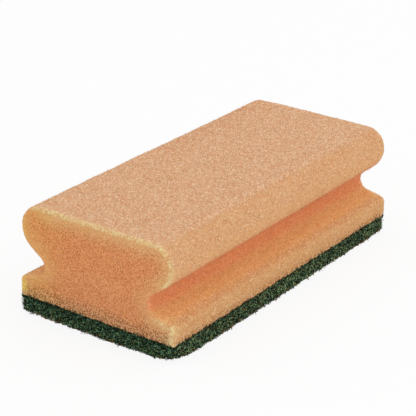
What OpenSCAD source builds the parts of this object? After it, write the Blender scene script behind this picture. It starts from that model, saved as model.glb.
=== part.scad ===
// Cleaning sponge with finger grooves: a foam body, cut to one profile along its
// length, that stands on a nonwoven scouring pad of the same plan.
// X runs along the sponge, Y across it and Z up from the underside of the pad.

/* [Foam body] */
// Length of the sponge, foam and pad alike
sponge_len = 150; // [80:1:240]
// Width of the foam's foot and of the pad under it
foot_w = 72; // [60:0.5:110]
// Height of the foam, from the pad to the top
foam_h = 37.5; // [33:0.2:60]
// Width of the head, at its widest
head_w = 69.6; // [62:0.2:100]
// Radius of the head's long top edges
head_edge_r = 8.2; // [3:0.1:10]
// Radius of the foot's long top edges
foot_edge_r = 2.3; // [0.5:0.1:3]

/* [Finger grooves] */
// Depth of each groove, in from the side of the foot
groove_depth = 12.2; // [9:0.1:18]
// Radius of the groove's round bottom
groove_r = 4.7; // [3:0.1:6]
// Height of the groove's round bottom above the pad
groove_z = 13.6; // [10:0.1:16]
// Rise of the head's underside, from the groove outwards
head_rise = 35; // [15:1:45]
// Fall of the foot's top, from the groove outwards
foot_fall = 14; // [5:1:25]

/* [Scouring pad] */
// Thickness of the pad
pad_t = 7.5; // [4:0.1:12]
// Radius of the pad's corners, seen from above
pad_corner_r = 3; // [2.5:0.1:12]
// Radius along the pad's lower edges
pad_edge_r = 1; // [0.5:0.1:2.4]

/* [Hidden] */
$fn = 96;

// Points of the foam's section are [y, z], with z = 0 on the pad.
// The groove's round bottom, and where its two walls leave it
groove_c = [foot_w / 2 - groove_depth + groove_r, groove_z];
upper_wall_start = groove_c + groove_r * [-sin(head_rise), cos(head_rise)];
lower_wall_start = groove_c - groove_r * [sin(foot_fall), cos(foot_fall)];

// Sharp corners that the roundings replace
head_low_corner = on_line(upper_wall_start, head_rise, head_w / 2);
head_top_corner = [head_w / 2, foam_h];
foot_corner = on_line(lower_wall_start, -foot_fall, foot_w / 2);

// The head's side is all curve where it can be: the lower rounding takes what the
// upper one leaves, up to the length of the groove's upper wall.
side_h = head_top_corner.y - head_low_corner.y;
head_low_cut = min(side_h - head_edge_r, norm(head_low_corner - upper_wall_start));
head_low_r = head_low_cut * tan((90 + head_rise) / 2);

// Each round is larger than its radius by a hair, so that its edge crosses the two
// straight walls beside it and doesn't just touch them.
hair = 0.001;

// Point at y on the line that leaves p at an angle to the Y axis
function on_line(p, angle, y) = [y, p.y + (y - p.x) * tan(angle)];

function unit(v) = v / norm(v);

// For a corner b between a and c, rounded to radius r: half its angle, where the
// round leaves the side towards a, and the round's centre
function half_angle(a, b, c) = acos(unit(a - b) * unit(c - b)) / 2;
function round_start(a, b, c, r) = b + unit(a - b) * r / tan(half_angle(a, b, c));
function round_centre(a, b, c, r) =
    b + unit(unit(a - b) + unit(c - b)) * r / sin(half_angle(a, b, c));

module round_disc(centre, r) {
    translate(centre) circle(r = r + hair);
}

// What rounding corner b takes off: the four-sided patch between the round's centre
// and the corner, carried on past the corner's two walls, less the disc
module corner_waste(a, b, c, r, overrun = 1.1) {
    centre = round_centre(a, b, c, r);
    patch = [centre, round_start(a, b, c, r), b, round_start(c, b, a, r)];
    difference() {
        polygon([for (p = patch) centre + overrun * (p - centre)]);
        round_disc(centre, r);
    }
}

// Half of the foam's section, on the side where y is positive
module foam_half_section() {
    foot_base = [foot_w / 2, 0];
    top_middle = [0, foam_h];
    difference() {
        polygon([
            [0, 0], foot_base, foot_corner, lower_wall_start,
            upper_wall_start, head_low_corner, head_top_corner, top_middle
        ]);
        round_disc(groove_c, groove_r);
        corner_waste(foot_base, foot_corner, lower_wall_start, foot_edge_r);
        corner_waste(upper_wall_start, head_low_corner, head_top_corner, head_low_r);
        corner_waste(head_low_corner, head_top_corner, top_middle, head_edge_r);
    }
}

module foam_body() {
    color("#dba678")
    translate([0, 0, pad_t])
    rotate([90, 0, 90])
    linear_extrude(height = sponge_len, center = true) {
        foam_half_section();
        mirror([1, 0]) foam_half_section();
    }
}

// Section across the pad, of a given width, with its two lower edges rounded
module pad_section(width) {
    difference() {
        translate([-width / 2, 0]) square([width, pad_t]);
        for (side = [-1, 1])
            translate([side * width / 2, 0]) square(2 * pad_edge_r, center = true);
    }
    for (side = [-1, 1])
        translate([side * (width / 2 - pad_edge_r), pad_edge_r]) circle(r = pad_edge_r);
}

module scouring_pad() {
    color("#2c4233") {
        rotate([90, 0, 90])
        linear_extrude(height = sponge_len - 2 * pad_corner_r, center = true)
        pad_section(foot_w);

        rotate([90, 0, 0])
        linear_extrude(height = foot_w - 2 * pad_corner_r, center = true)
        pad_section(sponge_len);

        for (x = [-1, 1], y = [-1, 1])
            translate([x * (sponge_len / 2 - pad_corner_r), y * (foot_w / 2 - pad_corner_r), 0])
            rotate_extrude()
            intersection() {
                pad_section(2 * pad_corner_r);
                square([pad_corner_r, pad_t]);
            }
    }
}

foam_body();
scouring_pad();
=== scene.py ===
"""Looks of the cleaning sponge: the foam body and the cut cells on it, the scouring web
and its fibres, and the floor, lamp and camera that show them. Lengths are in metres."""

import math

import bpy
import numpy as np
from mathutils import Matrix, Vector, noise


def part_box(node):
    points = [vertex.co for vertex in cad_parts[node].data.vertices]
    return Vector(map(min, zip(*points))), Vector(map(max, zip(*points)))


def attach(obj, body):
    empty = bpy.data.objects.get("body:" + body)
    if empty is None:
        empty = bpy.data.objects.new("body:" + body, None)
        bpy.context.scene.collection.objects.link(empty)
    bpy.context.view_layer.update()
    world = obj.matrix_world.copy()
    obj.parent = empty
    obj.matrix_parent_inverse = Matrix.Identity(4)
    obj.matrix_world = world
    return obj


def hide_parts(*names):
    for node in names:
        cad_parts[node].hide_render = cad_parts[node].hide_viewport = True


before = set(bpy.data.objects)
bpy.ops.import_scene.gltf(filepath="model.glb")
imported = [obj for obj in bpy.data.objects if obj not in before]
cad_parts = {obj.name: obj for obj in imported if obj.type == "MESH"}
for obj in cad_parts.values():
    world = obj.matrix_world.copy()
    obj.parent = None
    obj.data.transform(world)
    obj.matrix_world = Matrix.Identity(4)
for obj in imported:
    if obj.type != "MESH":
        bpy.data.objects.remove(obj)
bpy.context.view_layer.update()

MM = 0.001
BODY = "root"
# Places that lie nearer than this are the same
NEAR = 0.001 * MM

# Foam: how far apart its mesh's points lie, and the round of its cut edges
FOAM_STEP = 0.575 * MM
CUT_EDGE_R = 0.6 * MM
# Farthest from a cut edge that the foam's colour still changes
EDGE_REACH = 9 * MM
# Slivers of cut cell wall that stand on the foam, in each of their pieces, and the points
# of each: a ring sunk in the foam, a ring above it and a tip
SLIVERS = 13000
SLIVER_POINTS = 7

# Web: how far apart its mesh's points lie, and the round of its lower edges
WEB_STEP = 0.8 * MM
WEB_EDGE_R = 0.9 * MM
# How far its cut side has spread, and how far it flares out at the floor between corners
WEB_SPREAD = 0.12 * MM
WEB_FLARE = 0.65 * MM
# Its four corners seen from above: at the top, and at the floor, where the corner
# nearest the camera is worn rounder than the rest
WEB_CORNER_TOP_R = 0.7 * MM
WEB_CORNER_LOW_R = 1.7 * MM
WORN_CORNER_LOW_R = 9.0 * MM
# The fibres lie in this layer, so the web's core stands this far inside them
FIBRE_LAYER = 0.4 * MM
# The cut foam hangs over the joint with the web by this much
JOINT_DROP = 0.5 * MM
# Binder lies on core and fibres alike in clots of this size
WEB_GRAIN = 0.34 * MM

foam_low, foam_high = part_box("foam_body")
web_low, web_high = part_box("scouring_pad")
web_size = np.array(web_high - web_low)
web_perimeter = 2 * (web_size[0] + web_size[1])
joint = foam_low.z - JOINT_DROP


def band(start, low, high):
    """The stretch from low to high millimetres past a start, as its two limits."""
    return start + low * MM, start + high * MM


def smooth_step(value, low, high):
    """0 below low, 1 above high, and a smooth rise between them."""
    share = np.clip((value - low) / (high - low), 0, 1)
    return share * share * (3 - 2 * share)


def unit(vectors):
    """The same directions, with a length of 1."""
    length = np.linalg.norm(vectors, axis=-1, keepdims=True)
    return vectors / np.maximum(length, 1e-12)


def rough(points, size, layer, octaves):
    """Noise from about -1 to 1 at each point, with bumps about `size` across. Each layer
    takes it from elsewhere."""
    start = Vector((17.3, 5.1, 11.9)) * layer
    return np.array([
        noise.fractal(Vector(p) / size + start, 1.0, 2.0, octaves) for p in points
    ])


def cell_depth(points, size, layer):
    """How deep each point lies in its foam cell: 0 on a wall, 1 well inside."""
    start = Vector((3.7, 23.1, 8.3)) * layer
    gap = np.empty(len(points))
    for i, p in enumerate(points):
        nearest = noise.voronoi(Vector(p) / size + start)[0]
        gap[i] = nearest[1] - nearest[0]
    return np.clip(gap * 2.2, 0, 1)


def end_outline(node):
    """The corners [y, z] of a CAD node's end face at its lowest x, in order round it."""
    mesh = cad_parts[node].data
    place = np.array([v.co for v in mesh.vertices])
    lowest = place[:, 0].min()
    uses = {}
    for face in mesh.polygons:
        corners = [tuple(np.round(place[v], 7)) for v in face.vertices]
        if all(abs(c[0] - lowest) < NEAR for c in corners):
            for a, b in zip(corners, corners[1:] + corners[:1]):
                edge = frozenset(((a[1], a[2]), (b[1], b[2])))
                uses[edge] = uses.get(edge, 0) + 1
    beside = {}
    for edge in (e for e, count in uses.items() if count == 1):
        a, b = edge
        beside.setdefault(a, []).append(b)
        beside.setdefault(b, []).append(a)
    start = max(beside, key=lambda p: (-p[1], p[0]))
    order = [start, max(beside[start], key=lambda p: p[1])]
    while True:
        onward = [p for p in beside[order[-1]] if p != order[-2]][0]
        if onward == start:
            return np.array(order)
        order.append(onward)


def distance_along(points):
    """How far along a line each of its points lies."""
    return np.concatenate([[0], np.cumsum(np.linalg.norm(np.diff(points, axis=0), axis=1))])


def along(points, count):
    """A line through the points, cut into count equal stretches."""
    reach = distance_along(points)
    at = np.linspace(0, reach[-1], count + 1)
    return np.stack([np.interp(at, reach, points[:, k]) for k in (0, 1)], 1)


def foam_section():
    """The foam's outline from its right foot over the top to its left foot, as even
    points, with the outward normal at each, and how many stretches a side has."""
    corners = end_outline("foam_body")
    right = corners[corners[:, 0] > 0]
    right = right[: int(np.argmax(right[:, 1] > foam_high.z - NEAR)) + 1]
    flat_y = right[-1, 0]
    per_side = round(distance_along(right)[-1] / FOAM_STEP)
    per_top = round(2 * flat_y / FOAM_STEP)
    side = along(right, per_side)
    top = along(np.array([[flat_y, foam_high.z], [-flat_y, foam_high.z]]), per_top)
    outline = np.concatenate([side, top[1:-1], side[::-1] * [-1, 1]])
    run = np.gradient(outline, axis=0)
    normal = unit(np.stack([run[:, 1], -run[:, 0]], 1))
    normal[0] = [1, 0]
    normal[-1] = [-1, 0]
    return outline, normal, per_side


def groove_share(outline, per_side):
    """How deep in a groove each point of the outline lies, from 0 to 1, and its share of
    the groove's shade. The head shades the upper wall nearer the mouth."""
    side = outline[:per_side]
    innermost = int(side[:, 0].argmin())
    widest = innermost + int(side[innermost:, 0].argmax())
    mouth, bottom = side[widest, 0], side[innermost, 0]
    deep = np.clip((mouth - side[:, 0]) / (mouth - bottom), 0, 1)
    share = smooth_step(deep, 0.7, 1.0)
    share[innermost:] = smooth_step(deep[innermost:], 0.08, 0.42)
    deep[widest:] = share[widest:] = 0
    top = np.zeros(len(outline) - 2 * per_side)
    return [np.concatenate([half, top, half[::-1]]) for half in (deep, share)]


def from_outline(points, outline):
    """The distance of each point [y, z] from the outline."""
    lines = np.diff(outline, axis=0)
    gap = np.empty(len(points))
    for i, point in enumerate(points):
        away = point - outline[:-1]
        t = np.clip((away * lines).sum(1) / (lines * lines).sum(1), 0, 1)
        gap[i] = np.linalg.norm(away - lines * t[:, None], axis=1).min()
    return gap


def grid_faces(rows, forward=True):
    """The quads of a grid of point numbers."""
    a, b = rows[:-1, :-1].ravel(), rows[:-1, 1:].ravel()
    c, d = rows[1:, 1:].ravel(), rows[1:, :-1].ravel()
    return np.stack([a, b, c, d] if forward else [a, d, c, b], 1)


def foam_stations():
    """Where the foam's section is repeated: each x, with how far the surface has turned
    there towards the end face."""
    bend = np.radians([90, 45])
    half = foam_high.x - CUT_EDGE_R
    runs = round(2 * half / FOAM_STEP)
    out = half + CUT_EDGE_R * np.sin(bend)
    x = np.concatenate([-out, np.linspace(-half, half, runs + 1), out[::-1]])
    turn = np.concatenate([-bend, np.zeros(runs + 1), bend[::-1]])
    return x, turn


def foam_end(ring, points, per_side, way, first):
    """One end of the foam, as rows of points from side to side, numbered from `first`.
    Returns the numbers in rows, the new points, and their normals."""
    columns = len(ring) - 1 - 2 * per_side
    share = np.linspace(0, 1, columns + 1)[1:-1][None, :, None]
    right, left = ring[:per_side], ring[::-1][:per_side]
    inner = points[right][:, None] * (1 - share) + points[left][:, None] * share
    ids = first + np.arange(per_side * (columns - 1)).reshape(per_side, -1)
    rows = np.vstack([np.column_stack([right, ids, left]), ring[per_side : -per_side]])
    return rows, inner.reshape(-1, 3), np.tile([way, 0.0, 0.0], (ids.size, 1))


def foam_form():
    """The foam's plain form: its points and normals, the quads of its side and of its
    ends, the corners of its underside, how deep in a groove each point lies and how far
    from a cut edge, and the map places of its side's points."""
    outline, normal, per_side = foam_section()
    x, turn = foam_stations()
    around, count = len(outline), len(x)
    ring = outline[None] - normal[None] * CUT_EDGE_R * (1 - np.cos(turn))[:, None, None]
    points = np.dstack([np.repeat(x[:, None], around, 1), ring]).reshape(-1, 3)
    flat = normal[None] * np.cos(turn)[:, None, None]
    normals = np.dstack([np.repeat(np.sin(turn)[:, None], around, 1), flat]).reshape(-1, 3)
    index = np.arange(count * around).reshape(count, around)
    left = foam_end(index[0], points, per_side, -1.0, len(points))
    right = foam_end(index[-1], points, per_side, 1.0, len(points) + len(left[1]))
    points = np.concatenate([points, left[1], right[1]])
    normals = np.concatenate([normals, left[2], right[2]])
    under = np.concatenate([
        index[:, 0], right[0][0][1:-1], index[::-1, -1], left[0][0][-2:0:-1]
    ])
    deep, groove = np.zeros((2, len(points)))
    deep[: index.size], groove[: index.size] = np.tile(groove_share(outline, per_side), count)
    edge = foam_high.x - np.abs(points[:, 0])
    ends = np.flatnonzero(np.abs(normals[:, 0]) > 0.3)
    edge[ends] = np.maximum(from_outline(points[ends, 1:], outline) - CUT_EDGE_R, 0)
    return {
        "points": points,
        "normals": normals,
        "side": grid_faces(index, forward=False),
        "ends": [grid_faces(left[0], forward=False), grid_faces(right[0])],
        "under": under,
        "deep": deep,
        "groove": groove,
        "edge": np.minimum(edge, EDGE_REACH),
        "side_map": np.column_stack([
            np.tile(distance_along(outline), count), np.repeat(x - foam_low.x, around)
        ]),
    }


def uneven_cut(points):
    """How far the cut strays from its plain form: the head droops along the far half of
    its left edge, the left groove is a little shallow, and the foot is long at its right
    end."""
    x, y, z = points.T
    droop = smooth_step(x, *band(0, -20, 30)) * smooth_step(y, *band(0, 15, 27))
    droop *= smooth_step(z, *band(foam_high.z, -7, -1))
    shallow = smooth_step(y, *band(0, 20, 30)) * smooth_step(z, *band(foam_low.z, 4.5, 8.5))
    shallow *= 1 - smooth_step(z, *band(foam_low.z, 24.5, 34.5))
    long_foot = smooth_step(x, *band(foam_high.x, -15, -1))
    long_foot *= 1 - smooth_step(z, *band(foam_low.z, 6.5, 10.5))
    return (0.30 * shallow + 0.30 * long_foot - 0.35 * droop) * MM


def foam_relief(points, deep):
    """How far the cut foam stands out from its plain surface at each point. The fuzz of
    cut cells fills the groove's bottom a little, and the foot has spread a little."""
    foot = 1 - smooth_step(points[:, 2], *band(foam_low.z, 14.5, 22.5))
    return uneven_cut(points) + MM * (
        0.12
        + 0.10 * foot
        + 0.20 * smooth_step(deep, 0.6, 1)
        + 0.12 * rough(points, 14 * MM, 1, 2)
        + 0.08 * rough(points, 3.2 * MM, 2, 2)
        - 0.12 * (cell_depth(points, 1.15 * MM, 3) - 0.5)
        + 0.12 * rough(points, 0.65 * MM, 4, 1)
    )


def add_values(mesh, values):
    """Gives the mesh's points a named number each."""
    for name, numbers in values.items():
        layer = mesh.attributes.new(name, "FLOAT", "POINT")
        layer.data.foreach_set("value", np.asarray(numbers, np.float32))


def add_map(mesh, places):
    """Gives the mesh the UV map that its colours are kept in when it is exported."""
    layer = mesh.uv_layers.new(name="OFBake")
    layer.data.foreach_set("uv", np.asarray(places, np.float32).ravel())


def new_piece(name, points, faces, material):
    """A smooth mesh piece on the sponge's one body."""
    mesh = bpy.data.meshes.new(name)
    mesh.from_pydata(points.tolist(), [], faces)
    mesh.shade_smooth()
    mesh.materials.append(material)
    piece = bpy.data.objects.new(name, mesh)
    bpy.context.scene.collection.objects.link(piece)
    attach(piece, BODY)
    return piece


def foam_map(form, points):
    """Map places for the foam's face corners: its side unrolled, both ends beside each
    other above that, and its underside small in the last corner."""
    width, length = foam_high.y - foam_low.y, foam_high.x - foam_low.x
    gap = 2 * MM
    small = 0.1
    whole = length + foam_high.z - foam_low.z + 3 * gap
    parts = [form["side_map"][form["side"].ravel()]]
    for k, quads in enumerate(form["ends"]):
        flat = points[quads.ravel()][:, 1:] - [foam_low.y, foam_low.z]
        parts.append(flat + [k * (width + gap), length + gap])
    under = points[form["under"]][:, :2] - [foam_low.x, foam_low.y]
    parts.append(under * small + [2 * (width + gap), length + gap])
    return (np.concatenate(parts) + gap / 2) / whole


def make_foam(material):
    """The foam, and what its slivers need: its points, normals, quads and values."""
    form = foam_form()
    points, normals = form["points"], form["normals"]
    relief = foam_relief(points, form["deep"])
    moved = points + normals * relief[:, None]
    moved[points[:, 2] < foam_low.z + NEAR, 2] = joint
    quads = np.concatenate([form["side"], *form["ends"]])
    faces = quads.tolist() + [form["under"].tolist()]
    piece = new_piece("foam", moved, faces, material)
    values = {
        "edge": form["edge"] / MM,
        "cut_end": smooth_step(np.abs(normals[:, 0]), 0.3, 1),
        "upward": smooth_step(normals[:, 2], 0.9, 0.99),
        "deep": form["deep"],
        "groove": form["groove"],
        # How far each point lies sunk in a pit, for painted shade there
        "pit_shade": np.clip(0.5 - relief / (0.35 * MM), 0, 1),
        "pale": np.zeros(len(points)),
    }
    add_values(piece.data, values)
    add_map(piece.data, foam_map(form, points))
    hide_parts("foam_body")
    return moved, normals, quads, values


def cell_map(across, up):
    """Map places for many small pieces, each in its own cell of the map: across and up
    give each point's place in its cell, from 0 to 1."""
    per_row = math.ceil(math.sqrt(len(across)))
    cell = np.arange(len(across))
    left, low = (cell % per_row)[:, None], (cell // per_row)[:, None]
    margin, width = 0.15, 0.7
    left, low = left + margin + width * across, low + margin + width * up
    places = np.stack([left, low], 2) / per_row
    return places.reshape(-1, 2)


def sliver_points(draw, root, normal):
    """The points of each sliver, which stands 0.3 to 0.6 mm out and leans to one side."""
    lean = draw.normal(0, 1, normal.shape)
    lean = unit(lean - normal * (lean * normal).sum(1, keepdims=True))
    third = np.cross(normal, lean)
    size = draw.uniform(0.6, 1.1, (len(root), 1, 1)) * MM
    turn = (np.arange(3) * 2 * math.pi / 3)[:, None]
    root, normal, lean, third = (v[:, None] for v in (root, normal, lean, third))
    ring = 0.05 * lean * np.cos(turn) + 0.11 * third * np.sin(turn)
    base = root + (ring - 0.10 * normal) * size
    middle = root + (0.75 * ring + 0.17 * normal + 0.06 * lean) * size
    tip = root + (0.55 * normal + 0.34 * lean) * size
    points = np.concatenate([base, middle, tip], 1)
    points[..., 2] = np.maximum(points[..., 2], joint)
    return points.reshape(-1, 3)


def sliver_roots(draw, foam):
    """Random places on the foam, fewer on its cut ends: the corners of each one's quad,
    and the share that each corner has in it."""
    points, _, quads, values = foam
    corners = points[quads]
    area = np.cross(corners[:, 2] - corners[:, 0], corners[:, 3] - corners[:, 1])
    chance = np.linalg.norm(area, axis=1) * (1 - 0.8 * values["cut_end"][quads].mean(1))
    face = draw.choice(len(quads), SLIVERS, p=chance / chance.sum())
    u, v = draw.uniform(0, 1, (2, SLIVERS))
    share = np.stack([(1 - u) * (1 - v), u * (1 - v), u * v, (1 - u) * v], 1)
    return quads[face], share


def make_slivers(name, seed, foam, material):
    """Thin slivers of cut cell wall, each a closed three-sided spike that leans over."""
    points, normals, _, values = foam
    draw = np.random.default_rng(seed)
    corners, share = sliver_roots(draw, foam)
    root = (points[corners] * share[..., None]).sum(1)
    normal = unit((normals[corners] * share[..., None]).sum(1))
    first = (np.arange(SLIVERS) * SLIVER_POINTS)[:, None, None]
    walls = (first + [[0, 1, 4, 3], [1, 2, 5, 4], [2, 0, 3, 5]]).reshape(-1, 4)
    caps = (first + [[2, 1, 0], [3, 4, 6], [4, 5, 6], [5, 3, 6]]).reshape(-1, 3)
    faces = walls.tolist() + caps.tolist()
    piece = new_piece(name, sliver_points(draw, root, normal), faces, material)
    carried = {
        key: np.repeat((numbers[corners] * share).sum(1), SLIVER_POINTS)
        for key, numbers in values.items()
    }
    carried["pit_shade"] = np.zeros(SLIVERS * SLIVER_POINTS)
    # A few slivers are pale: a painted highlight, as cell walls that catch the light
    carried["pale"] = np.repeat(draw.uniform(0, 1, SLIVERS) ** 3, SLIVER_POINTS)
    add_values(piece.data, carried)
    across = np.tile([0, 0.5, 1, 0, 0.5, 1, 0.5], (SLIVERS, 1))
    up = np.tile([0, 0, 0, 0.6, 0.6, 0.6, 1], (SLIVERS, 1))
    add_map(piece.data, cell_map(across, up)[np.concatenate([walls.ravel(), caps.ravel()])])


def web_map_start(axis, at):
    """Where the map of one side of the web's box starts: the top and underside, then
    the two long sides, then the two ends beside each other."""
    beside, above = web_size[1:] + WEB_STEP
    if axis == 2:
        return 0, (beside if at else 0)
    if axis == 1:
        return 0, 2 * beside + (above if at else 0)
    return (beside if at else 0), 2 * (beside + above)


def web_lattice():
    """The web's box as a grid over all six sides: points, faces and map places."""
    counts = np.round(web_size / WEB_STEP).astype(int)
    whole = 2 * web_size[1] + 3 * web_size[2] + 5 * WEB_STEP
    found, points, faces, places = {}, [], [], []

    def corner(spot):
        if spot not in found:
            found[spot] = len(points)
            points.append(np.array(web_low) + web_size * spot / counts)
        return found[spot]

    for axis in range(3):
        across, up = [k for k in range(3) if k != axis]
        for at in (0, counts[axis]):
            start = np.array(web_map_start(axis, at))
            step = (web_size / counts)[[across, up]]
            outward = bool(at) != (axis == 1)
            for m in range(counts[across]):
                for n in range(counts[up]):
                    square, flat = [], []
                    for dm, dn in ((0, 0), (1, 0), (1, 1), (0, 1)):
                        spot = [0, 0, 0]
                        spot[axis], spot[across], spot[up] = at, m + dm, n + dn
                        square.append(corner(tuple(spot)))
                        flat.append((start + step * (m + dm, n + dn)) / whole)
                    faces.append(square if outward else square[::-1])
                    places.extend(flat if outward else flat[::-1])
    return np.array(points), faces, places


def from_web_corner(points):
    """How far round the web each point lies from the nearest of its four corners."""
    return (web_size[:2] / 2 - np.abs(points[:, :2])).max(1)


def web_radii(points):
    """The radius of the web's nearest corner seen from above, at each point's height, and
    the radius of its lower edge, which grows towards that corner."""
    worn = (points[:, 0] < 0) & (points[:, 1] < 0)
    low_r = np.where(worn, WORN_CORNER_LOW_R, WEB_CORNER_LOW_R)
    up = smooth_step(points[:, 2], web_low.z, web_high.z)
    beside = 1 - smooth_step(from_web_corner(points), 0, np.where(worn, 26, 8) * MM)
    edge_r = WEB_EDGE_R * (1 + np.where(worn, 1.0, 0.7) * beside)
    return low_r + (WEB_CORNER_TOP_R - low_r) * up, edge_r


def onto_round(a, b):
    """Draws two distances from a round's centre in, so that a square corner turns round."""
    length = np.maximum(np.hypot(a, b), 1e-12)
    share = np.where((a > 0) & (b > 0), np.maximum(a, b) / length, 1)
    return a * share, b * share


def web_form(points):
    """Moves points on the web's box onto its real form, with rounded corners and lower
    edges. Returns the new points and the outward normals there."""
    half = web_size[:2] / 2
    z = points[:, 2] - web_low.z
    corner_r, edge_r = web_radii(points)
    inner = np.clip(points[:, :2], corner_r[:, None] - half, half - corner_r[:, None])
    out = points[:, :2] - inner
    reach = np.abs(out).max(1)
    way = unit(out)
    clear = (half - np.abs(points[:, :2])).min(1)
    depth = np.where(reach > NEAR, corner_r - reach, clear)
    in_edge, over_edge = np.clip(edge_r - [depth, z], 0, None)
    in_new, over_new = onto_round(in_edge, over_edge)
    depth = np.where(in_edge > 0, edge_r - in_new, depth)
    z = np.where(over_edge > 0, edge_r - over_new, z)
    turned = inner + way * (corner_r - depth)[:, None]
    flat = np.where((reach > NEAR)[:, None], turned, points[:, :2])
    top = points[:, 2] > web_high.z - NEAR
    outward = np.where(top, 0, in_new)[:, None] * way
    normal = unit(np.column_stack([outward, -np.where(in_edge > 0, over_new, 1)]))
    normal[top & (depth > NEAR)] = [0, 0, 1]
    rim = top & (depth <= NEAR)
    normal[rim] = np.column_stack([way[rim], np.zeros(rim.sum())])
    return np.column_stack([flat, z + web_low.z]), normal


def web_sway(points, normals):
    """How far the cut web's side leans in and out along its length, and out at its foot."""
    lean = 0.30 * MM * rough(points * [1, 1, 0.5], 9 * MM, 11, 2)
    low = 1 - smooth_step(points[:, 2], *band(web_low.z, 0, 4))
    at_end = np.abs(normals[:, 0])
    flare = WEB_FLARE * (0.7 + 0.3 * at_end)
    flare *= smooth_step(from_web_corner(points), 0, (20 + 14 * at_end) * MM)
    flare *= 1 + rough(points * [1, 1, 0], 6 * MM, 13, 2)
    return lean + (WEB_SPREAD + flare * low) * np.hypot(normals[:, 0], normals[:, 1])


def make_web(material):
    points, faces, places = web_lattice()
    form, normal = web_form(points)
    lift = web_sway(form, normal) - FIBRE_LAYER
    lift += 0.30 * MM * rough(form, 2.0 * MM, 12, 3)
    top = form[:, 2] > web_high.z - NEAR
    lift[top] = np.minimum(lift[top], -FIBRE_LAYER)
    moved = form + normal * lift[:, None]
    moved[top, 2] = joint
    moved[:, 2] = np.clip(moved[:, 2], web_low.z + 0.05 * MM, joint)
    piece = new_piece("scouring_web", moved, faces, material)
    add_map(piece.data, places)
    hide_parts("scouring_pad")


def tubes(lines, normals, radius, sides=3):
    """Closed thin tubes along many lines at once: their points, faces and map places.
    Lines is fibres by points by xyz."""
    many, rings, _ = lines.shape
    run = unit(np.gradient(lines, axis=1))
    across = unit(np.cross(run, normals))
    up = np.cross(across, run)
    turn = (np.arange(sides) * 2 * math.pi / sides)[:, None]
    ring = across[:, :, None] * np.cos(turn) + up[:, :, None] * np.sin(turn)
    points = lines[:, :, None] + ring * radius[..., None, None]
    first = (np.arange(many) * rings * sides)[:, None, None]
    r = np.arange(rings - 1)[None, :, None] * sides
    s = np.arange(sides)[None, None, :]
    after = (s + 1) % sides
    quads = np.stack([
        first + r + s, first + r + after, first + r + sides + after, first + r + sides + s
    ], -1).reshape(-1, 4).tolist()
    start = (first[:, 0] + np.arange(sides)[::-1]).tolist()
    end = (first[:, 0] + (rings - 1) * sides + np.arange(sides)).tolist()
    across_cell = np.tile(np.arange(sides) / sides, (many, rings))
    up_cell = np.tile(np.repeat(np.linspace(0, 1, rings), sides), (many, 1))
    return points.reshape(-1, 3), quads + start + end, cell_map(across_cell, up_cell)


def wander(draw, many, rings, length, curl):
    """Flat curled paths: the two coordinates at each ring, from a random heading."""
    heading = draw.uniform(0, 2 * math.pi, many)[:, None]
    bend = draw.normal(0, curl, many)[:, None]
    t = np.linspace(-0.5, 0.5, rings)[None, :]
    start = draw.uniform(0, 2 * math.pi, many)[:, None]
    wave = draw.normal(0, 0.5, many)[:, None] * np.sin(6 * t + start)
    angle = heading + bend * t + wave
    step = length[:, None] / (rings - 1)
    u = np.cumsum(np.cos(angle) * step, 1)
    v = np.cumsum(np.sin(angle) * step, 1)
    return u - u.mean(1, keepdims=True), v - v.mean(1, keepdims=True)


def box_places(s, u):
    """Points on the web's box: s round it from a corner, u down from its top edge, and
    past its lower edge on under it."""
    half = web_size / 2
    spans = np.cumsum(web_size[[0, 1, 0, 1]])
    face = np.searchsorted(spans, s, side="right").clip(0, 3)
    at = s - np.concatenate([[0], spans[:-1]])[face]
    down = np.clip(u, 0, web_size[2])
    under = np.clip(u - web_size[2], 0, None)
    run_x = [at - half[0], np.full_like(at, half[0]), half[0] - at, np.full_like(at, -half[0])]
    run_y = [np.full_like(at, -half[1]), at - half[1], np.full_like(at, half[1]), half[1] - at]
    out_x, out_y = np.array([[0, 1, 0, -1], [-1, 0, 1, 0]])[:, face]
    x = np.clip(np.choose(face, run_x) - out_x * under, -half[0], half[0])
    y = np.clip(np.choose(face, run_y) - out_y * under, -half[1], half[1])
    return np.column_stack([x, y, web_high.z - down])


def side_fibres(draw, many, rings):
    """Short fibres round the web's cut side: most lie along it, and some end outside."""
    length = draw.uniform(0.5, 1.9, many) * MM
    du, dv = wander(draw, many, rings, length, 1.8)
    s = (draw.uniform(0, web_perimeter, many)[:, None] + du) % web_perimeter
    u = draw.uniform(JOINT_DROP, web_size[2] + 1.8 * MM, many)[:, None] + dv * 0.8
    u = np.clip(u, JOINT_DROP - 0.15 * MM, web_size[2] + 4 * MM)
    form, normal = web_form(box_places(s.ravel(), u.ravel()))
    out = draw.uniform(-0.40, 0.25, many)[:, None]
    t = np.linspace(-1, 1, rings)[None, :]
    arch = draw.normal(0, 0.25, many)[:, None] * (1 - t * t)
    tilt = draw.normal(0, 0.22, many)[:, None] * t
    lift = (out + arch + tilt).ravel() * MM + web_sway(form, normal)
    return form + normal * lift[:, None], normal


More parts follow.
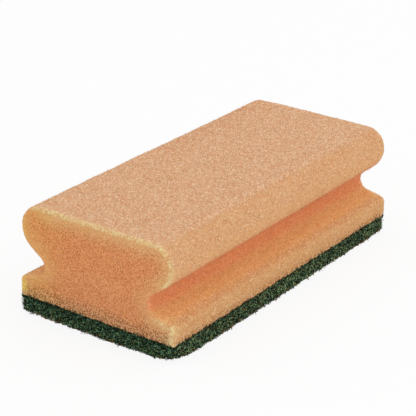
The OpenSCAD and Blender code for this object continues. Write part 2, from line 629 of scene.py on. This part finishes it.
def edge_fibres(draw, many, rings):
    """Loose fibres that stand up past the web's top edge, or out from its lower edge."""
    t = np.linspace(0, 1, rings)[None, :]
    rises = (np.arange(many) % 2 == 0)[:, None]
    length = draw.uniform(1.1, 2.8, many)[:, None] * MM
    angle = draw.normal(0, 0.5, many)[:, None] + draw.normal(0, 0.7, many)[:, None] * t
    high_start = JOINT_DROP + draw.uniform(0.5, 1.4, (many, 1)) * MM
    low_start = web_size[2] - draw.uniform(0, 2.2, (many, 1)) * MM
    u = np.where(rises, high_start, low_start)
    u = u + np.where(rises, -1, 0.8) * length * t * np.cos(angle)
    u = np.maximum(u, JOINT_DROP - draw.uniform(0.2, 1.5, (many, 1)) * MM)
    start = draw.uniform(0, web_perimeter, (many, 1))
    s = (start + length * t * np.sin(angle)) % web_perimeter
    form, normal = web_form(box_places(s.ravel(), u.ravel()))
    reach = draw.uniform(0, 1, (many, 1)) ** 2
    reach = np.where(rises, 0.5 + 0.35 * reach, 0.2 + 1.4 * reach)
    lift = (reach * t ** 1.5 * MM).ravel() + web_sway(form, normal)
    lines = form + normal * lift[:, None]
    lines[:, 2] += np.clip(-u.ravel(), 0, None)
    return lines, normal


def turned_back(places, low, high):
    """Places along a line, of which those past a limit are mirrored back inside it."""
    places = low + np.abs(places - low)
    return high - np.abs(high - places)


def under_fibres(draw, many, rings):
    """Longer fibres over the web's underside."""
    length = draw.uniform(3.0, 9.0, many) * MM
    du, dv = wander(draw, many, rings, length, 2.2)
    clear = 1.2 * MM
    x_low, x_high = web_low.x + clear, web_high.x - clear
    y_low, y_high = web_low.y + clear, web_high.y - clear
    x = draw.uniform(x_low, x_high, many)[:, None] + du
    y = draw.uniform(y_low, y_high, many)[:, None] + dv
    form, _ = web_form(np.column_stack([
        turned_back(x.ravel(), x_low, x_high),
        turned_back(y.ravel(), y_low, y_high),
        np.full(many * rings, web_low.z),
    ]))
    lift = draw.uniform(0.12, 0.5, many)[:, None] + draw.normal(0, 0.05, (many, rings))
    form[:, 2] += lift.ravel() * MM
    return form, np.tile([0.0, 0.0, -1.0], (many * rings, 1))


def make_fibres(name, paths, seed, many, rings, thick, lightest, low_stray, material):
    """Many fibres of the web, each with a few rings of points, from `thick` to twice that
    in radius, and tinted up to the lightest. A few are ochre strays, and more of the lowest."""
    draw = np.random.default_rng(seed)
    lines, normals = paths(draw, many, rings)
    lines[:, 2] = np.maximum(lines[:, 2], web_low.z + 0.13 * MM)
    lines, normals = lines.reshape(many, rings, 3), normals.reshape(many, rings, 3)
    radius = draw.uniform(thick, 2 * thick, many)[:, None] * np.ones(rings)
    radius[:, [0, -1]] *= 0.6
    points, faces, places = tubes(lines, normals, radius)
    points[:, 2] = np.maximum(points[:, 2], web_low.z)
    piece = new_piece(name, points, faces, material)
    low = 1 - smooth_step(lines[:, :, 2].mean(1), *band(web_low.z, 0.4, 2))
    stray = draw.uniform(0, 1, many) < 0.012 + low_stray * low
    per_fibre = len(points) // many
    add_values(piece.data, {
        "tint": np.repeat(draw.uniform(0, lightest, many), per_fibre),
        "stray": np.repeat(stray, per_fibre),
    })
    add_map(piece.data, places[np.concatenate([np.ravel(f) for f in faces])])


def add_node(tree, kind, inputs=None, **settings):
    """A new shader node, with its settings, and a value or a link for each input."""
    made = tree.nodes.new("ShaderNode" + kind)
    for name, value in settings.items():
        setattr(made, name, value)
    for name, value in (inputs or {}).items():
        if isinstance(value, bpy.types.NodeSocket):
            tree.links.new(value, made.inputs[name])
        else:
            made.inputs[name].default_value = value
    return made


def mix(tree, share, first, second, way="MIX"):
    """The first colour at a share of 0, and the second, or what it makes, at 1."""
    made = add_node(tree, "Mix", {0: share, 6: first, 7: second}, data_type="RGBA", blend_type=way)
    return made.outputs[2]


def span(tree, value, low, high, start=0.0, end=1.0):
    """The value's place between low and high, from start to end, smoothed."""
    inputs = {"Value": value, 1: low, 2: high, 3: start, 4: end}
    return add_node(tree, "MapRange", inputs, interpolation_type="SMOOTHSTEP").outputs[0]


def blend(tree, share, start, end):
    """From start, where the share is 0, to end, where it is 1, smoothed."""
    return span(tree, share, 0.0, 1.0, start, end)


def maths(tree, way, a, b=0.0):
    return add_node(tree, "Math", {0: a, 1: b}, operation=way).outputs[0]


def product(tree, value, *factors):
    """The value times each of the factors."""
    for factor in factors:
        value = maths(tree, "MULTIPLY", value, factor)
    return value


def coordinates(tree, place):
    """How far along, across and up each place lies."""
    return add_node(tree, "SeparateXYZ", {0: place}).outputs


def cloud(tree, place, size, detail, roughness):
    """Noise from 0 to 1, with patches about `size` across."""
    inputs = {"Vector": place, "Scale": 1 / size, "Detail": detail, "Roughness": roughness}
    return add_node(tree, "TexNoise", inputs).outputs[0]


def grains(tree, place, size):
    """Cells about `size` across: the distance from each one's middle, and two random
    numbers that are the same all over a cell."""
    cell = add_node(tree, "TexVoronoi", {"Vector": place, "Scale": 1 / size})
    random = add_node(tree, "SeparateColor", {0: cell.outputs["Color"]})
    return cell.outputs["Distance"], random.outputs[0], random.outputs[1]


def attribute(tree, name):
    return add_node(tree, "Attribute", attribute_name=name).outputs["Fac"]


def new_material(name, roughness, gloss):
    """A material with an empty tree, and its Principled shader."""
    material = bpy.data.materials.new(name)
    material.use_nodes = True
    tree = material.node_tree
    tree.nodes.clear()
    shader = add_node(tree, "BsdfPrincipled", {"Roughness": roughness, "Specular IOR Level": gloss})
    output = add_node(tree, "OutputMaterial", {"Surface": shader.outputs[0]})
    return material, tree, shader, output


def own_place(tree):
    """Where each point lies on the sponge."""
    return add_node(tree, "TexCoord").outputs["Object"]


def connect(tree, value, shader, name):
    """Links a value to one of the shader's inputs."""
    tree.links.new(value, shader.inputs[name])


def add_bump(tree, shader, height, strength, depth):
    """Raises the shader's surface by a height of 0 to 1."""
    inputs = {"Strength": strength, "Distance": depth, "Height": height}
    connect(tree, add_node(tree, "Bump", inputs).outputs[0], shader, "Normal")


def rgb(r, g, b):
    """A colour given as it shows on screen, from 0 to 255, for a socket."""
    def linear(c):
        c /= 255
        return c / 12.92 if c <= 0.04045 else ((c + 0.055) / 1.055) ** 2.4
    return (linear(r), linear(g), linear(b), 1.0)


# The foam's colours, as they show on screen: its flat top, paler as painted light; the
# head's side above, and below, redder as painted shade; the foot's side, darker as painted
# shade, and its slope; deep in a groove, redder as painted shade; the cut ends at the
# middle, their own tone deepened as painted shade, and near their outline, paler as a
# painted glow of light through the thin edge; the rim of the cut edges, the same painted
# glow; the thin lips of the far side; and single cell walls that catch the light
FOAM_LIT_TOP = rgb(218, 162, 120)
FOAM_SIDE = rgb(217, 160, 113)
FOAM_SHADED_LOW_SIDE = rgb(227, 167, 114)
FOAM_SHADED_FOOT = rgb(214, 156, 103)
FOAM_SLOPE = rgb(231, 167, 103)
FOAM_GROOVE_SHADE = rgb(230, 143, 93)
FOAM_END_TONE_AND_SHADE = rgb(223, 145, 92)
FOAM_END_EDGE_GLOW = rgb(223, 164, 108)
FOAM_RIM_GLOW = rgb(230, 196, 138)
FOAM_LIP = rgb(228, 190, 100)
FOAM_GLINT = rgb(250, 224, 188)


def side_colour(tree, height):
    """The colour of the foam's top, sides and grooves, with painted light and shade: a paler
    top, a redder low side under the head, a darker foot side, and redder grooves.
    """
    # Painted light: the top is paler where the light falls
    colour = mix(tree, attribute(tree, "upward"), FOAM_SIDE, FOAM_LIT_TOP)
    # Painted shade: the low side under the head is redder, as foam in shade looks
    low_side_shade = span(tree, height, *band(foam_low.z, 25.5, 32.5), 1.0, 0.0)
    colour = mix(tree, low_side_shade, colour, FOAM_SHADED_LOW_SIDE)
    # Painted shade: the foot's side is darker
    foot = span(tree, height, *band(foam_low.z, 6.5, 16.5), 1.0, 0.0)
    colour = mix(tree, foot, colour, FOAM_SHADED_FOOT)
    slope = product(tree, foot, span(tree, attribute(tree, "deep"), 0.0, 0.35))
    colour = mix(tree, slope, colour, FOAM_SLOPE)
    # Painted shade: redder deep in the grooves
    return mix(tree, attribute(tree, "groove"), colour, FOAM_GROOVE_SHADE)


def plain_edges(tree, place):
    """Where the cut edges are plainer: between the grooves, on the far side below the
    head, and on the far side of the head itself."""
    _, across, height = coordinates(tree, place)
    waist = span(tree, height, *band(foam_low.z, 6.5, 9.5))
    waist = product(tree, waist, span(tree, height, *band(foam_low.z, 19.5, 23.5), 1.0, 0.0))
    far = span(tree, across, *band(0, 8, 22))
    far = product(tree, far, span(tree, height, *band(foam_low.z, 20.5, 24.5), 1.0, 0.0))
    head = span(tree, across, *band(0, 20, 30), 0.0, 0.9)
    head = product(tree, head, span(tree, height, *band(foam_high.z, -3, 0), 1.0, 0.4))
    return maths(tree, "MAXIMUM", maths(tree, "MAXIMUM", waist, far), head)


def end_colour(tree, place, plain):
    """The colour of the cut ends, their own tone deepened as painted shade: paler near their
    outline, a painted glow of light through the thin edge, yellower towards the far side,
    duller low down, as painted shade, and less red beside the web."""
    _, across, height = coordinates(tree, place)
    # Painted light: paler near the outline, a glow of light through the thin edge
    edge_glow = span(tree, attribute(tree, "edge"), 0.6, 8.0, 1.0, 0.0)
    edge_glow = product(tree, edge_glow, blend(tree, plain, 1.0, 0.4))
    colour = mix(tree, edge_glow, FOAM_END_TONE_AND_SHADE, FOAM_END_EDGE_GLOW)
    far = span(tree, across, *band(0, 8, 32))
    colour = mix(tree, far, colour, (1.0, 1.05, 0.86, 1), "MULTIPLY")
    # Painted shade: duller low down
    low = span(tree, height, *band(foam_low.z, 10.5, 19.5), 1.0, 0.0)
    colour = mix(tree, low, colour, (0.97, 0.98, 1.0, 1), "MULTIPLY")
    beside = span(tree, height, *band(foam_low.z, 0, 6.5), 1.0, 0.0)
    return mix(tree, beside, colour, (0.82, 1.02, 1.14, 1), "MULTIPLY")


def rim_glow_share(tree, place, cut_end, plain):
    """How much of the pale rim, a painted glow of light through the thin cut edge, shows at
    the cut edges. It is broadest at the foot, spotted, and faint at the right end."""
    along, _, height = coordinates(tree, place)
    foot = span(tree, height, *band(foam_low.z, 4.5, 8.5), 1.0, 0.0)
    side_reach, end_reach = blend(tree, foot, 2.8, 7.5), blend(tree, foot, 1.0, 2.8)
    reach = blend(tree, cut_end, side_reach, end_reach)
    strength = blend(tree, cut_end, blend(tree, foot, 0.64, 0.42), 0.85)
    _, spot, _ = grains(tree, place, 0.9 * MM)
    return product(
        tree,
        span(tree, attribute(tree, "edge"), 0.2, reach, strength, 0.0),
        span(tree, along, *band(0, 0, 20), 1.0, 0.15),
        blend(tree, plain, 1.0, 0.15),
        span(tree, spot, 0.1, 0.9, 0.25, 1.3),
    )


def lip_share(tree, place):
    """How much of the yellow shows at the thin lips of the far side, most at the foot."""
    _, across, height = coordinates(tree, place)
    return product(
        tree,
        span(tree, across, *band(foam_high.y, -4.5, -0.8)),
        span(tree, height, *band(foam_low.z, 4.5, 7.5), 1.0, 0.25),
        span(tree, height, *band(foam_low.z, 0.8, 2.3)),
        span(tree, attribute(tree, "edge"), 1.5, 5.5, 1.0, 0.0),
    )


def foam_colour(tree, place, cut_end):
    """The foam's colour, before its grain."""
    plain = plain_edges(tree, place)
    side = side_colour(tree, coordinates(tree, place)[2])
    colour = mix(tree, cut_end, side, end_colour(tree, place, plain))
    # Painted light: a pale glow of light through the thin cut edges
    colour = mix(tree, rim_glow_share(tree, place, cut_end, plain), colour, FOAM_RIM_GLOW)
    colour = mix(tree, lip_share(tree, place), colour, FOAM_LIP)
    # Drift between a pinker and a yellower tone
    drift = span(tree, cloud(tree, place, 1.3 * MM, 3, 0.6), 0.38, 0.62)
    drift = mix(tree, drift, (1.0, 0.975, 1.015, 1), (1.0, 1.025, 0.975, 1))
    return mix(tree, 1.0, colour, drift, "MULTIPLY")


def grained(tree, colour, random, fine, upward):
    """The colour with a grain: each cut cell has its own tone, from deep orange to pale
    cream. Pits in the relief are darker, which is painted shade, and the pale slivers are
    lighter, which is a painted highlight."""
    tone = maths(tree, "ADD", product(tree, random, 0.75), product(tree, fine, 0.8))
    # Painted shade: darker in the pits of the relief
    tone = maths(tree, "SUBTRACT", tone, product(tree, attribute(tree, "pit_shade"), 0.15))
    # Painted highlight: the pale slivers are lighter
    tone = maths(tree, "ADD", tone, product(tree, attribute(tree, "pale"), 0.5))
    tone = span(tree, tone, blend(tree, upward, 0.22, 0.34), blend(tree, upward, 1.12, 1.02))
    grain = mix(tree, tone, (0.92, 0.74, 0.62, 1), (1.12, 1.36, 1.55, 1))
    return mix(tree, 1.0, colour, grain, "MULTIPLY")


def glint_share(tree, place, upward, cut_end):
    """Where single cell walls catch the light, most on the top and few on the cut ends."""
    off_middle, random, _ = grains(tree, place, 0.52 * MM)
    chance = blend(tree, upward, 0.12, 0.26)
    bright = span(tree, maths(tree, "SUBTRACT", chance, random), -0.03, 0.03)
    wall = product(tree, span(tree, off_middle, 0.3, 0.62, 1.0, 0.0), bright)
    sliver = span(tree, attribute(tree, "pale"), 0.4, 0.8, 0.0, 0.85)
    return product(
        tree,
        maths(tree, "MAXIMUM", wall, sliver),
        blend(tree, upward, 0.7, 1.0),
        blend(tree, cut_end, 1.0, 0.3),
        span(tree, attribute(tree, "deep"), 0.0, 0.5, 1.0, 0.4),
    )


def pored(tree, place, colour, cut_end, glint):
    """The colour with its pores, darkest where the foam nears the web, and higher up on
    its cut ends. The pores are grain; their darkening towards the web is painted shade where
    the foam meets it."""
    height = maths(tree, "SUBTRACT", coordinates(tree, place)[2], foam_low.z)
    above = maths(tree, "DIVIDE", height, blend(tree, cut_end, 3.4 * MM, 7.5 * MM))
    off_pore, random, _ = grains(tree, place, 0.62 * MM)
    # Painted shade: the pores grow darker towards the web
    pore = product(
        tree,
        span(tree, off_pore, 0.25, 0.55, 1.0, 0.0),
        blend(tree, above, blend(tree, cut_end, 2.0, 2.3), blend(tree, cut_end, 0.3, 0.8)),
        span(tree, attribute(tree, "edge"), 0.5, 5.0, 0.25, 1.0),
        span(tree, glint, 0.0, 0.6, 1.0, 0.0),
        blend(tree, random, 0.2, 1.0),
    )
    brown = mix(tree, span(tree, above, 0.2, 1.0), (0.42, 0.28, 0.20, 1), (0.56, 0.38, 0.32, 1))
    return mix(tree, pore, colour, brown, "MULTIPLY")


def foam_material():
    material, tree, shader, _ = new_material("foam", roughness=0.9, gloss=0.12)
    place = own_place(tree)
    upward, cut_end = attribute(tree, "upward"), attribute(tree, "cut_end")
    distance, random, _ = grains(tree, place, 0.32 * MM)
    fine = cloud(tree, place, 0.26 * MM, 1, 0.5)
    colour = grained(tree, foam_colour(tree, place, cut_end), random, fine, upward)
    glint = glint_share(tree, place, upward, cut_end)
    colour = mix(tree, glint, colour, FOAM_GLINT)
    connect(tree, pored(tree, place, colour, cut_end, glint), shader, "Base Color")
    add_bump(tree, shader, maths(tree, "ADD", distance, product(tree, fine, 0.7)), 0.5, 0.15 * MM)
    shader.inputs["Subsurface Weight"].default_value = 0.12
    shader.inputs["Subsurface Radius"].default_value = (1.0, 0.45, 0.25)
    shader.inputs["Subsurface Scale"].default_value = 1.5 * MM
    return material


def end_shaded(tree, place, colour):
    """The web's colour, darker and greener on its two ends, and most so near the foam."""
    along, _, height = coordinates(tree, place)
    at_end = span(tree, maths(tree, "ABSOLUTE", along), *band(web_high.x, -2, -1))
    near_foam = span(tree, height, *band(joint, -4, -1))
    shade = mix(tree, near_foam, (0.74, 0.88, 0.90, 1), (0.52, 0.70, 0.72, 1))
    return mix(tree, at_end, colour, shade, "MULTIPLY")


def web_material():
    """The dark heart of the web, seen between its fibres."""
    material, tree, shader, _ = new_material("web_core", roughness=0.85, gloss=0.08)
    place = own_place(tree)
    _, random, _ = grains(tree, place, WEB_GRAIN)
    patch = product(tree, random, cloud(tree, place, 0.9 * MM, 3, 0.6))
    colour = mix(tree, span(tree, patch, 0.2, 0.7), rgb(4, 15, 7), rgb(86, 124, 90))
    connect(tree, end_shaded(tree, place, colour), shader, "Base Color")
    add_bump(tree, shader, patch, 0.8, 0.3 * MM)
    return material


def fibre_material():
    """The web's fibres: dark green, with paler clots of binder, and a few ochre strays."""
    material, tree, shader, _ = new_material("web_fibre", roughness=0.6, gloss=0.2)
    place = own_place(tree)
    _, random, second = grains(tree, place, WEB_GRAIN)
    light = product(tree, maths(tree, "ADD", attribute(tree, "tint"), random), 0.6)
    pale = mix(tree, second, rgb(170, 236, 192), rgb(222, 236, 150))
    colour = mix(tree, span(tree, light, 0.5, 1.1), rgb(9, 30, 12), pale)
    ochre = mix(tree, random, rgb(128, 96, 34), rgb(206, 142, 48))
    colour = mix(tree, attribute(tree, "stray"), end_shaded(tree, place, colour), ochre)
    connect(tree, colour, shader, "Base Color")
    connect(tree, blend(tree, random, 0.45, 0.8), shader, "Roughness")
    return material


def make_floor():
    """A white floor that keeps the sponge's shadow."""
    reach = 3.0
    mesh = bpy.data.meshes.new("floor")
    corners = [(-reach, -reach, 0), (reach, -reach, 0), (reach, reach, 0), (-reach, reach, 0)]
    mesh.from_pydata(corners, [], [(0, 1, 2, 3)])
    material, tree, shader, output = new_material("floor", roughness=1.0, gloss=0.0)
    shader.inputs["Base Color"].default_value = (0.94, 0.94, 0.94, 1)
    seen = add_node(tree, "LightPath").outputs["Is Camera Ray"]
    glow = add_node(tree, "Emission", {"Color": (1, 1, 1, 1), "Strength": 1.0})
    share = product(tree, seen, 0.86)
    both = add_node(tree, "MixShader", {0: share, 1: shader.outputs[0], 2: glow.outputs[0]})
    connect(tree, both.outputs[0], output, "Surface")
    mesh.materials.append(material)
    floor = bpy.data.objects.new("floor", mesh)
    bpy.context.scene.collection.objects.link(floor)


def make_world():
    """An even white studio, at full white where the camera sees it."""
    world = bpy.data.worlds.new("studio")
    world.use_nodes = True
    tree = world.node_tree
    tree.nodes.clear()
    seen = add_node(tree, "LightPath").outputs["Is Camera Ray"]
    level = blend(tree, seen, 0.88, 1.0)
    sky = add_node(tree, "Background", {"Color": (1, 1, 1, 1), "Strength": level})
    add_node(tree, "OutputWorld", {"Surface": sky.outputs[0]})
    bpy.context.scene.world = world


def add_lamp(name, place, target, size, power):
    lamp = bpy.data.lights.new(name, "AREA")
    lamp.shape = "DISK"
    lamp.size = size
    lamp.energy = power
    made = bpy.data.objects.new(name, lamp)
    made.location = place
    made.rotation_euler = (Vector(target) - Vector(place)).to_track_quat("-Z", "Y").to_euler()
    bpy.context.scene.collection.objects.link(made)


def make_camera():
    """The photograph's view: the left end and the near long side, from above."""
    azimuth, elevation, roll = (math.radians(a) for a in (-54.99, 23.47, 0.973))
    target = Vector((0, 0, 22.66 * MM))
    shift_right, shift_up, distance = -2.04 * MM, 3.29 * MM, 669.4 * MM
    back = Vector((
        math.sin(azimuth) * math.cos(elevation),
        -math.cos(azimuth) * math.cos(elevation),
        math.sin(elevation),
    ))
    level = Vector((math.cos(azimuth), math.sin(azimuth), 0))
    upright = back.cross(level)
    right = level * math.cos(roll) + upright * math.sin(roll)
    up = upright * math.cos(roll) - level * math.sin(roll)
    place = target + right * shift_right + up * shift_up + back * distance
    camera = bpy.data.cameras.new("camera")
    camera.sensor_width = 36
    camera.lens = 144.66
    made = bpy.data.objects.new("camera", camera)
    made.matrix_world = Matrix.Translation(place) @ Matrix((right, up, back)).transposed().to_4x4()
    bpy.context.scene.collection.objects.link(made)
    bpy.context.scene.camera = made


bpy.context.scene.view_settings.view_transform = "Standard"
make_world()
make_floor()
add_lamp("key", place=(0.1, -0.6, 0.9), target=(0, 0, 0.02), size=0.9, power=1.6)
make_camera()
cut_foam = foam_material()
foam = make_foam(cut_foam)
make_slivers("foam_cut_cells_1", 41, foam, cut_foam)
make_slivers("foam_cut_cells_2", 42, foam, cut_foam)
make_web(web_material())
fibres = fibre_material()
for name, seed in (("web_fibres_side_1", 21), ("web_fibres_side_2", 22)):
    make_fibres(name, side_fibres, seed, many=11500, rings=3, thick=0.07 * MM, lightest=1.0,
                low_stray=0.16, material=fibres)
make_fibres("web_fibres_edge", edge_fibres, 23, many=1700, rings=4, thick=0.10 * MM,
            lightest=0.4, low_stray=0.15, material=fibres)
make_fibres("web_fibres_under", under_fibres, 31, many=4200, rings=5, thick=0.06 * MM,
            lightest=1.0, low_stray=0.03, material=fibres)
